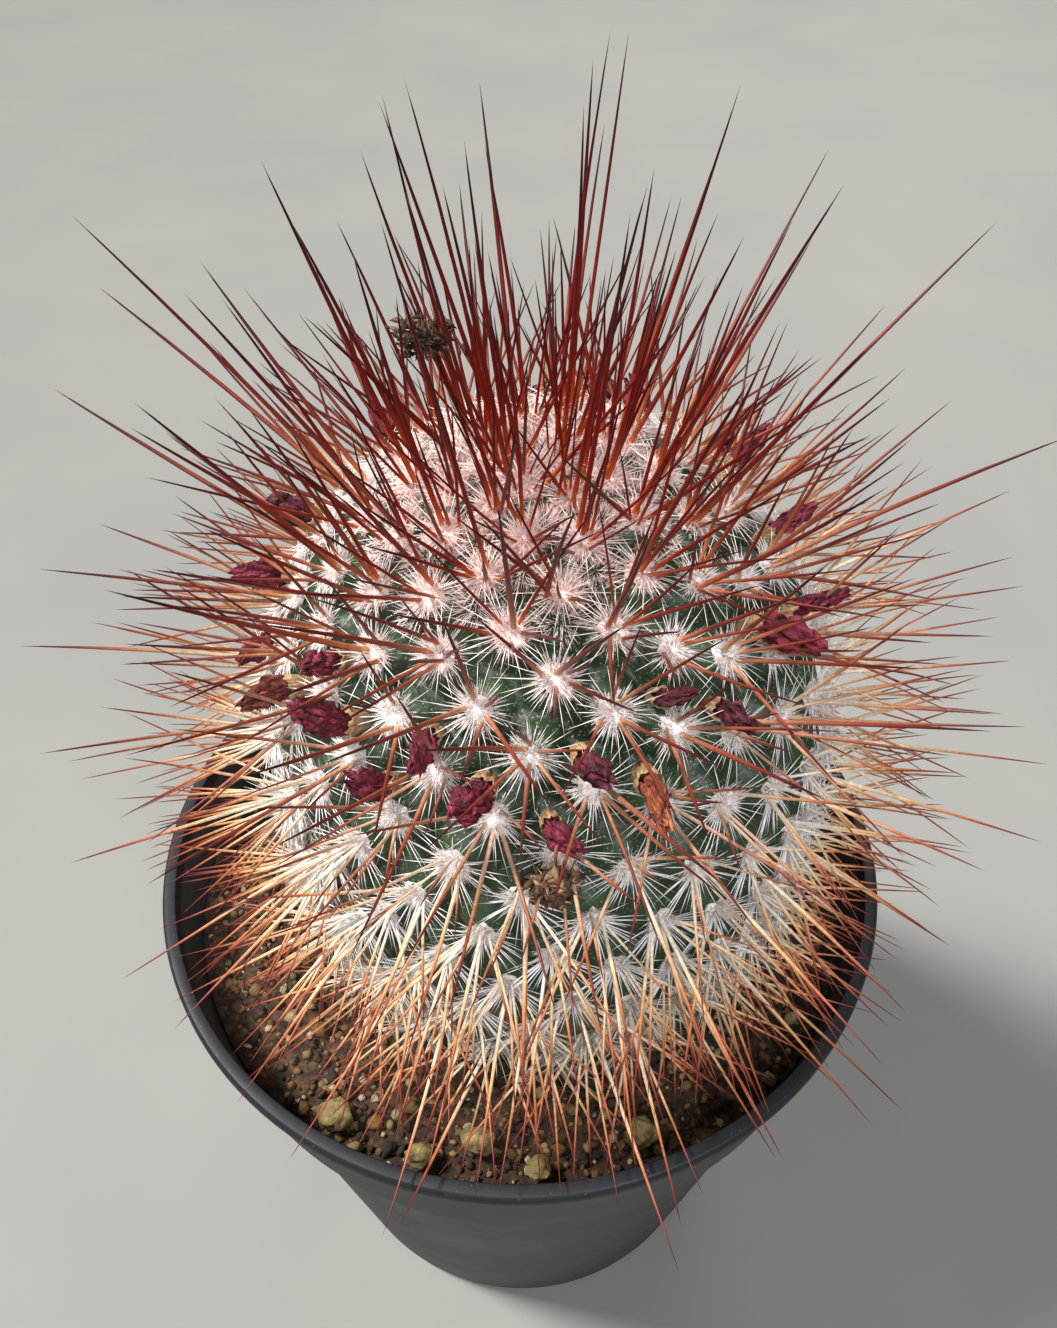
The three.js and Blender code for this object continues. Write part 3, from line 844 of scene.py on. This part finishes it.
def meets_pot(start, end):
    """True where a spine would run into the mix, the rim, a stone or a space kept for water."""
    for step in range(3, 25):
        spot = plant_to_pot @ start.lerp(end, step / 24)
        r = hypot(spot.x, spot.y)
        in_mix = r < RIM_IN and spot.z < SOIL_Z + 1.6
        in_rim = RIM_IN <= r < RIM_OUT and spot.z < POT_H + 0.8
        if in_mix or in_rim:
            return True
        off_axis = max(abs(abs(spot.x) - WATER_AT), abs(abs(spot.y) - WATER_AT))
        if off_axis < WATER_HALF + 0.6 and spot.z < WATER_TOP + 0.6:
            return True
        for degrees, ring, size in STONES:
            angle = radians(degrees)
            stone = Vector((ring * cos(angle), ring * sin(angle), SOIL_Z + 1.5))
            if (spot - stone).length < size + 0.9:
                return True
    return False


def clear_end(areole, direction, reach):
    """The end of a spine, lifted step by step until it is clear of the pot, or None."""
    for lift in range(8):
        aim = direction + Vector((0, 0, 0.14 * lift))
        end = areole.hub + aim.normalized() * reach
        if not meets_pot(areole.hub, end):
            return end
    return None


print("Spines stay clear of the mix, the rim,", len(STONES), "stones and the water")


# %% Where central spines grow
def spine_ends(areole):
    """One long spine, and up to five that spread round it. Young ones at the crown stand bunched
    and upright, and old ones spread and hang."""
    n = areole.n
    young = held(1 - n / 55)
    old = held((n - 130) / 90)
    long = floor(SLOTS * chance(n, 4))
    ends = []
    for slot in range(SLOTS):
        if slot != long and chance(n, 20 + slot) < 0.2:
            continue
        turn = (slot + 0.55 * (chance(n, 30 + slot) - 0.5)) * tau / SLOTS
        spread = chance(n, 40 + slot)
        growth = chance(n, 50 + slot)
        if slot == long:
            tilt = 0.06 + 0.2 * spread
            reach = between(16.5, 29, young) + 9.5 * growth ** 1.3
        else:
            tilt = between(0.44, 0.14, young) + 0.3 * spread
            reach = between(11, 17, young) + between(8, 11, young) * growth
        direction = areole.aim(tilt, turn) + Vector((0, 0, 0.55 * young - 0.4 * old))
        if slot != long:
            cross = areole.side * (chance(n, 90 + slot) - 0.5)
            cross += areole.along * (chance(n, 100 + slot) - 0.5)
            direction += cross * between(0.2, 2, young)
            reach *= between(1, 0.55 + 0.45 * chance(n, 110 + slot), young)
        ends.append(clear_end(areole, direction, reach))
    return ends


def extra_ends(areole):
    """Spines of middle length, on the youngest and on the old areoles."""
    n = areole.n
    young = held(1 - n / 50)
    old = held((n - 95) / 90)
    count = round(max(3 * old, 2 * held(2 * young)))
    ends = []
    for k in range(count):
        turn = (k + chance(n, 60 + k)) * tau / count
        tilt = between(between(0.4, 0.1, young), 0.8, old) + 0.4 * chance(n, 70 + k)
        reach = 9 + 4 * held(n / 50) - 1.5 * old + 8 * chance(n, 80 + k)
        direction = areole.aim(tilt, turn) + Vector((0, 0, 0.45 * young - 0.5 * old))
        direction += areole.side * (chance(n, 120 + k) - 0.5) * 1.8 * young
        ends.append(clear_end(areole, direction, reach))
    return ends


# The lengths in mm of the few spines that outgrow all the others, by the number of the areole
OUTGROWN = {11: 37, 21: 36, 36: 36, 57: 32, 63: 36, 66: 29, 70: 31, 71: 36}
print("Areole 30 bears", len(spine_ends(areoles[30])), "main spines")

# %% [markdown]
# The template of a central spine is round, a little swollen at the base, and tapers slowly and
# then quickly to the point. Six sides are enough for something half a millimetre thick.

# %% Strand templates
STRAND_OUTLINES = {
    "spine": (6, [(0, 0), (0.46, 0), (0.54, 0.025), (0.48, 0.08), (0.45, 0.28), (0.38, 0.52),
                  (0.28, 0.74), (0.14, 0.92), (0, 1)]),
    "radial": (3, [(0, 0), (0.5, 0), (0.4, 0.62), (0, 1)]),
    "hair": (3, [(0, 0), (0.5, 0), (0.42, 0.5), (0, 1)]),
    "tuft": (9, [(0, 0), (0.42, 0), (0.52, 0.25), (0.45, 0.6), (0.28, 0.88), (0, 1)]),
}
templates = {}
for name, (sides, outline) in STRAND_OUTLINES.items():
    bm = turned(outline, sides)
    unroll(bm, lambda vert: vert.co.z)
    templates[name] = as_mesh(bm, name + "_template")
    print(name, len(templates[name].polygons), "faces")

# %% [markdown]
# Horn finish: young spines are deep red with an orange base and a nearly black point. Ageing
# bleaches them from the base up, so the old ones start cream and end in dark red. Three colour
# ramps run along the spine, for young, grown and old, and age mixes them.

# %% Horn finish of the central spines
horn = new_finish("spine_horn", Roughness=0.38, Specular_IOR_Level=0.18)
uv, age, along = map_parts(horn)
young_horn = ramp_of(along, [(0, "dc7832"), (0.08, "b44614"), (0.22, "7c190a"), (0.6, "5a0c08"),
                             (0.82, "2c060a"), (1, "100508")])
grown_horn = ramp_of(along, [(0, "dfb692"), (0.1, "b97c56"), (0.3, "8c4733"), (0.6, "6c2920"),
                             (0.82, "3c1317"), (1, "1a0a0e")])
old_horn = ramp_of(along, [(0, "f8f2ea"), (0.24, "efdcbf"), (0.45, "d9aa7c"), (0.62, "ae6944"),
                           (0.8, "743026"), (1, "30100e")])
horn_colour = mix_of(steps_of(age, 0.1, 0.25), young_horn, grown_horn)
horn_colour = mix_of(steps_of(age, 0.29, 0.52), horn_colour, old_horn)
horn_colour = covered(horn_colour, "3a1210", noise_of(uv, 46, 2), 0.3, 0.7, 0, 0.35)
finish_with(horn, horn_colour, noise_of(uv, 70, 3), 0.02)
print("Horn for three ages of spines")

# %% [markdown]
# White growth: radial spines are glassy needles and the wool is matt. Both are pinkish near the
# crown, and turn cream and then grey-brown towards the foot, where dust and damp reach them.

# %% Finishes of the radial spines and of the wool
needle = new_finish("radial_needle", Roughness=0.4)
uv, age, along = map_parts(needle)
needle_colour = ramp_of(age, [(0, "fde4df"), (0.25, "fff7f3"), (0.6, "f9faff"), (0.8, "f2f1ef"),
                              (0.93, "dccfba"), (1, "b49c76")])
needle_colour = covered(needle_colour, "d9cdb8", along, 0.7, 1, 0, 0.15)
finish_with(needle, needle_colour, noise_of(uv, 60, 2), 0.01)

wool = new_finish("areole_wool", Roughness=1, Sheen_Weight=0.4)
uv, age, _ = map_parts(wool)
wool_colour = ramp_of(age, [(0, "fdd0c8"), (0.1, "fee0da"), (0.24, "fff8f5"), (0.5, "faf0ea"),
                            (0.75, "f2e8df"), (1, "b5a080")])
wool_colour = covered(wool_colour, "c9a99a", noise_of(uv, 80, 4, 0.7), 0.35, 0.7, 0.08, 0)
finish_with(wool, wool_colour, noise_of(object_place(wool), 2600, 4), 0.2)
print("Needles and wool have their finishes")

# %% [markdown]
# Now the strands. For every areole we list its central spines, a ring of radial spines and a tuft
# with loose hairs. The random numbers have a fixed seed, so that each build gives the same plant.

# %% Central spines of one areole
SPINE_DEPTH = 0.9    # how far below the hub a spine starts
SPINE_APART = 0.8    # how far its start lies towards its own side


def age_of(n):
    """0 at the crown and 1 at the foot."""
    return held(n / LAST_AREOLE)


def tilt_towards(direction, rng, amount):
    """A small sideways vector, for bending a strand."""
    sideways = unit_vector(rng).cross(direction)
    return sideways.normalized() * amount * rng.random()


def central_strands(areole, rng):
    ends = [end for end in spine_ends(areole) + extra_ends(areole) if end is not None]
    if areole.n in OUTGROWN:
        ends.append(areole.hub + areole.out * OUTGROWN[areole.n])
    start = areole.hub - areole.out * SPINE_DEPTH
    found = []
    for end in ends:
        arm = end - start
        width = between(0.34, 0.63, held((arm.length - 9) / 20)) * rng.uniform(0.88, 1.12)
        width -= 0.1 * held(1 - areole.n / 60) + 0.07 * held((areole.n - 70) / 40)
        sway = tilt_towards(arm.normalized(), rng, 0.06)
        shade = held(age_of(areole.n) + rng.uniform(-0.05, 0.05))
        felt = between(0.25, 0.7, held(1 - areole.n / 70))
        spread = areole.side * rng.uniform(-felt, felt) + areole.along * rng.uniform(-felt, felt)
        spread += (arm - areole.out * arm.dot(areole.out)).normalized() * SPINE_APART
        found.append((start + spread, arm - spread, arm.length, width, sway, shade))
    return found


def on_each_areole(growth, *numbers):
    """What grows on each areole, as a list for the areoles in their order."""
    return [growth(areole, rng, *numbers) for areole in areoles[:LAST_AREOLE + 1]]


rng = random.Random(5)
central = on_each_areole(central_strands)
print(sum(map(len, central)), "central spines")


# %% Radial spines of one areole
def radial_strands(areole, rng):
    """A ring of needles that lie nearly flat. The old ones are longer and hang down."""
    n = areole.n
    old = held((n - 60) / 150)
    young = held(1 - n / 25)
    droop = 0.75 * held((n - 50) / 90)
    count = round(between(26, 42, old))
    found = []
    for k in range(count):
        turn = (k + rng.uniform(-0.3, 0.3)) * tau / count
        tilt = between(1.38, 1, young) + rng.uniform(-0.28, 0.14)
        aim = areole.aim(tilt, turn)
        reach = between(5.6, 10.5, old) * rng.uniform(0.6, 1.1) * between(1, 0.8, young)
        reach *= 1 - 0.6 * droop * held(aim.z)
        aim = (aim + Vector((0, 0, -droop))).normalized()
        start = areole.tip + areole.out * 0.3 + aim * 0.3
        end = plant_to_pot @ (start + aim * reach)
        if end.z < SOIL_Z + 0.3 and hypot(end.x, end.y) < RIM_R:
            continue
        shade = held(age_of(n) + rng.uniform(-0.06, 0.06))
        width = rng.uniform(0.085, 0.12) * between(1, 1.5, old)
        found.append((start, aim, reach, width, tilt_towards(aim, rng, 0.04), shade))
    return found


radial = on_each_areole(radial_strands)
print(sum(map(len, radial)), "radial spines")

# %% Wool of one areole
HAIRS = 380
HAIR_SPREAD = 1.85
HAIR_LENGTH = 2.2
HAIR_LIFT = 0.45


def worn_away(n):
    """How much of the wool of an areole is worn off."""
    return held((n - 75) / 70)


def wool_hairs(areole, rng, count, spread, longest, lift):
    """Three of four hairs are short and stand up, to make the core. The others reach out flat."""
    found = []
    curl = between(0.28, 0.14, held(areole.n / 40))
    worn = worn_away(areole.n)
    spread *= between(1, 0.65, worn)
    for k in range(round(count * between(1, 0.6, worn))):
        turn = rng.random() * tau
        rim = k % 4 == 0
        tilt = rng.uniform(0.9, 1.45) if rim else rng.uniform(0, 1.25)
        reach = longest * (rng.uniform(0.55, 1) if rim else rng.uniform(0.3, 0.6))
        ring = sqrt(rng.random())
        flat = areole.aim(pi / 2, turn)
        start = areole.tip + areole.out * (lift - 0.4 * ring * ring) + flat * spread * ring
        shade = held(age_of(areole.n) + rng.uniform(-0.05, 0.05))
        width = rng.uniform(0.04, 0.056) if rim else rng.uniform(0.065, 0.095)
        found.append((start, areole.aim(tilt, turn), reach, width, unit_vector(rng) * curl, shade))
    return found


def tuft(areole, rng):
    """The felt cushion under the loose hairs, as a list of one strand."""
    size = between(2.9, 2.2, worn_away(areole.n)) * rng.uniform(0.85, 1.15)
    start = areole.tip - areole.out * 0.35
    return [(start, areole.out, 0.8, size, Vector((0, 0, 0)), age_of(areole.n))]


hairs = on_each_areole(wool_hairs, HAIRS, HAIR_SPREAD, HAIR_LENGTH, HAIR_LIFT)
tufts = on_each_areole(tuft)
print(sum(map(len, hairs)), "hairs")

# %% [markdown]
# The frame groups the areoles into thirteen spiral rows, so we do the same: four pieces for each
# row, for its central spines, radial spines, hairs and tufts. A bend function says how a strand
# leaves its straight line: a spine bends one way, and a hair waves.

# %% The thirteen rows
def wave(up):
    return 0.2 * np.sin(5 * up) + 0.4 * up * up


# The name of a piece, its template, its strands, its finish, its bend and its ruffle
ROW_KINDS = [
    ("central_spines", "spine", central, horn, np.square, 0),
    ("radial_spines", "radial", radial, needle, np.square, 0),
    ("wool_hairs", "hair", hairs, wool, wave, 0),
    ("wool_tufts", "tuft", tufts, wool, np.square, 0.2),
]
for row in range(ROWS):
    number = f"{row + 1:02d}"
    for kind, template, lists, material, bend, ruffle in ROW_KINDS:
        strands = sum(lists[row::ROWS], [])
        mesh = strand_mesh(templates[template], strands, plant_to_part, bend, ruffle)
        nodes = [f"spine_row_{number}"] if kind == "central_spines" else []
        as_piece(mesh, f"{kind}_{number}", material, "spines", *nodes)
print("Thirteen rows of spines and wool")

# %% [markdown]
# At the growing point the areoles crowd together and their wool runs into one pinkish cushion,
# which also fills the axils between the youngest tubercles. It is made of the same hairs.

# %% Crown wool
CROWN_AREOLES = 26
AXIL_SPREAD = 2.1
AXIL_LENGTH = 2.5
AXIL_LIFT = -0.2
crown_hairs = []
for n in range(CROWN_AREOLES):
    amount = round(between(420, 130, held(n / CROWN_AREOLES)))
    base = areoles[n]
    axil = (base.foot + areoles[n + 13].foot + areoles[n + 8].foot) / 3 - base.foot
    for start, *growth in wool_hairs(base, rng, amount, AXIL_SPREAD, AXIL_LENGTH, AXIL_LIFT):
        crown_hairs.append((start + axil, *growth))
crown_mesh = strand_mesh(templates["hair"], crown_hairs, plant_to_part, wave)
as_piece(crown_mesh, "crown_wool", wool, "spines")
print("Crown wool", len(crown_mesh.polygons), "faces")

# %% [markdown]
# ## Dried flowers
# The spent flowers stay on the plant as crumpled magenta twists, each out of a papery tan husk.
# A cloth simulation could crumple them, but at this size a turned shape with folds, noise and a
# bend does it in a blink. No two are alike, because all of it depends on the flower's number.

# %% Flower shape
FLOWER_AXILS = [65, 67, 69, 70, 71, 72, 74, 76, 77, 79, 80, 81, 82, 83, 84, 85, 87, 88, 89, 90,
                93, 94, 96, 98]
HUSK_OUTLINE = [(0, -0.8), (0.7, -0.6), (1, 0.3), (1.2, 1.3), (1.35, 2.2), (1.5, 3),
                (1.35, 2.95), (1.2, 2.2), (1.05, 1.3), (0.8, 0.6), (0, 0.4)]
PETAL_OUTLINE = [(0, 0.3), (0.5, 0.5), (0.75, 1.4), (0.95, 2.4), (1.2, 3.4), (1.45, 4.4),
                 (1.55, 5.3), (1.5, 6.2), (1.25, 7.1), (1, 7.9), (0.75, 8.5), (0.4, 8.3), (0, 7.2)]
FLOWER_LENGTH = 8.6
noise.seed_set(7)   # without a seed, the vector noise differs each time


def flower_place(n):
    """The axil between tubercle n and its two upper neighbours, and the way out."""
    base = (areoles[n].tip + areoles[n - 13].tip + areoles[n - 21].tip) / 3
    out = outward(base)
    sway = Vector((chance(n, 1) - 0.5, chance(n, 2) - 0.5, -0.1 - 0.3 * chance(n, 3)))
    return base - out * 0.7, (out + sway * 0.3).normalized()


def turned_map(outline, steps, low, high):
    """A turned shape whose UV map lies between two values of V."""
    bm = turned(outline, steps)
    run = bm.verts.layers.float["run"]
    unroll(bm, lambda vert: between(low, high, vert[run]))
    return bm


def crumpled_petals(n, seed):
    """The closed petals: deep folds along them, then creases, then fine wrinkles."""
    bm = turned_map(PETAL_OUTLINE, 36, 0.34, 0.98)
    bmesh.ops.subdivide_edges(bm, edges=bm.edges, cuts=1, use_grid_fill=True)
    folds = 6 + floor(5 * chance(n, 11))
    twist = 0.6 * (chance(n, 12) - 0.5)
    squeeze = between(0.4, 0.85, chance(n, 13))
    for vert in bm.verts:
        x, y, z = vert.co
        turn = atan2(y, x) + twist * z
        loose = held((z - 0.8) / 3)
        fold = 1 + 0.3 * loose * sin(folds * turn + 3 * noise.noise(vert.co * 0.5 + seed))
        crease = noise.noise_vector(Vector((x, y, z * 0.5)) * 1.6 + seed) * 0.62 * loose
        fibre = noise.noise_vector(Vector((x, y, z * 0.25)) * 4.5 + seed) * 0.24 * loose
        tip = 2.4 * held((z - 6) / 2.5) * noise.noise(Vector((3 * turn, 0, 0)) + seed)
        folded = Vector((x * fold, y * fold * between(1, squeeze, loose), z + tip))
        vert.co = folded + crease + fibre
    return as_mesh(bm, "petals")


def papery_husk(n, seed):
    """The thin cup that the petals grew from, with a ragged rim."""
    bm = turned_map(HUSK_OUTLINE, 36, 0.02, 0.28)
    for vert in bm.verts:
        x, y, z = vert.co
        rim = held((z - 0.8) / 2.5)
        flare = 1 + 0.12 * sin(9 * atan2(y, x) + n)
        tear = 1.3 * rim * noise.noise(Vector((x, y, 0)) * 1.6 + seed)
        vert.co = Vector((x * flare, y * flare, z + tear))
        vert.co += noise.noise_vector(vert.co * 1.8 + seed) * 0.25
    return as_mesh(bm, "husk")


print("Petals and husks are ready")


# %% Whole flower
def dried_flower(n):
    """Petals and husk together, bent over and set into the axil."""
    seed = Vector((n * 3.1, 0, 0))
    bm = bmesh.new()
    for part in (papery_husk(n, seed), crumpled_petals(n, seed)):
        bm.from_mesh(part)
    size = between(0.68, 1.02, chance(n, 14))
    bend = between(0.15, 0.95, chance(n, 15))
    base, axis = flower_place(n)
    down = plant_to_pot.inverted().to_3x3() @ Vector((0, 0, -1))
    hang = (down - axis * down.dot(axis)).normalized()
    hang.rotate(Matrix.Rotation(5 * (chance(n, 17) - 0.5), 3, axis))
    grid = Matrix((hang, hang.cross(axis) * -1, axis)).transposed()
    arc = FLOWER_LENGTH / bend
    for vert in bm.verts:
        x, y, z = vert.co
        turn = max(0, z) / arc
        bent = Vector((arc * (1 - cos(turn)) + x * cos(turn), y,
                       min(0, z) + (arc - x) * sin(turn)))
        vert.co = base + grid @ bent * size
    bmesh.ops.recalc_face_normals(bm, faces=bm.faces)
    bm.transform(plant_to_part)
    return bm


print("A flower is about", FLOWER_LENGTH, "mm long")

# %% [markdown]
# Petal finish: dark magenta, nearly black in the folds from painted shade, pink on the crests from
# a painted highlight, and papery tan at the husk, with the same painted shade and highlight. Husk
# and petals lie on different bands of the UV map, so its V coordinate tells them apart, and one
# material serves the whole flower.

# %% Petal finish
def petal_finish(name, fold_shade, middle, crest_highlight):
    finish = new_finish(name, Roughness=0.75)
    uv, _, out_share = map_parts(finish)
    spot = object_place(finish)
    drawn = add_node("ShaderNodeVectorMath", {0: uv, 1: (1, 0.16, 1)},
                     operation="MULTIPLY").outputs["Vector"]
    fold = mix_of(0.5, noise_of(spot, 1000, 5, 0.72), noise_of(drawn, 34, 4, 0.7))
    # painted shade and painted highlight: the petal and husk ramps darken the low parts of the fold
    # pattern and lighten its crests
    petal = ramp_of(fold, [(0.39, fold_shade), (0.51, middle), (0.66, crest_highlight)])
    husk = ramp_of(fold, [(0.3, "684630"), (0.5, "a6835e"), (0.7, "cbb290")])
    share = steps_of(out_share, 0.3, 0.32)
    ribs = cells_of(spot, 1300, "DISTANCE_TO_EDGE")
    finish_with(finish, mix_of(share, husk, petal), mix_of(0.4, fold, ribs), 0.6)
    return finish


magenta = petal_finish("dried_petal_magenta", "26040d", "660e26", "9c3152")
dusky = petal_finish("dried_petal_dusky", "1c040a", "4a0c1d", "80273f")
rusty = petal_finish("dried_petal_rusty", "3c120c", "823a22", "b9804a")
russet = petal_finish("dried_petal_russet", "240b08", "5e2114", "94482a")
ODD_ONES = {88: russet, 90: rusty}

for index, n in enumerate(FLOWER_AXILS):
    bm = dried_flower(n)
    finish = ODD_ONES.get(n, dusky if chance(n, 16) < 0.3 else magenta)
    name = f"spent_flower_{index + 1:02d}"
    as_piece(as_mesh(bm, name), name, finish, "dried_flower", f"dried_flower_{index + 1:02d}")
print(len(FLOWER_AXILS), "dried flowers")

# %% [markdown]
# ## Caught debris
# Two clumps of crumbly dry bits hang in the spines, and a tiny husk sits beside an upper areole. A
# clump is a heap of rough flakes and loose fibres, and the box of its node gives its place.

# %% Debris finish
debris_finish = new_finish("dry_plant_bits", Roughness=0.9)
uv, shade, _ = map_parts(debris_finish)
debris_colour = ramp_of(shade, [
    (0, "1b110b"), (0.3, "452f1f"), (0.55, "6e4e32"), (0.8, "9c7a58"), (1, "cdb494")])
debris_colour = covered(debris_colour, "120b07", noise_of(uv, 70, 4, 0.7), 0.35, 0.7, 0.5, 0)
finish_with(debris_finish, debris_colour, noise_of(object_place(debris_finish), 2200), 0.15)
flake_template = as_mesh(rough_ball(2, 4.4, 0.9), "flake_template")
print("A flake has", len(flake_template.polygons), "faces")


# %% Debris clumps
def debris_clump(name, node, flakes, flake_size, seed, palest, fibres=0):
    """Flakes packed round the middle of a node's box, with fibres that stick out. Sizes are in
    metres here, and palest is the clump's lightest shade."""
    rng = random.Random(seed)
    low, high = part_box(node)
    middle = (low + high) / 2
    half = (high - low) / 2
    balls = []
    for _ in range(flakes):
        arm = unit_vector(rng)
        arm *= rng.random() ** 0.45 * (1 + 0.9 * noise.noise(arm * 1.7 + Vector((seed, 0, 0))))
        spot = middle + Vector((arm.x * half.x, arm.y * half.y, arm.z * half.z)) * 0.95
        size = flake_size * rng.uniform(0.6, 1.3)
        sizes = (size * 1.8, size * 0.75, size * 0.5)
        balls.append((spot, sizes, any_turn(rng), palest * rng.random()))
    mesh = ball_mesh(flake_template, balls, Matrix.Identity(4))
    as_piece(mesh, name, debris_finish, "plant_debris", node)
    strands = []
    for spot, _, _, shade in balls[:fibres]:
        sway = unit_vector(rng) * 0.3
        aim = unit_vector(rng)
        reach = rng.uniform(0.0012, 0.003)
        strands.append((spot, aim, reach, flake_size * 0.6, sway, shade))
    if strands:
        mesh = strand_mesh(templates["radial"], strands, Matrix.Identity(4))
        as_piece(mesh, name + "_fibres", debris_finish, "plant_debris")
    print(name, len(mesh.polygons), "faces")


debris_clump("debris_on_crown", "caught_debris_crown", 420, 0.00028, 21, 0.62, 60)
debris_clump("debris_in_front", "caught_debris_front", 320, 0.00036, 22, 1, 80)
debris_clump("husk_bit", "seed_husk", 14, 0.00045, 23, 1)

# %% [markdown]
# ## Measure and finish
# We measure the box of the visual model and print it in millimetres.

# %% Sizes and finish
low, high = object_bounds()
print("Visual box in mm:", [round(x / MM, 1) for x in (*low, *high)])
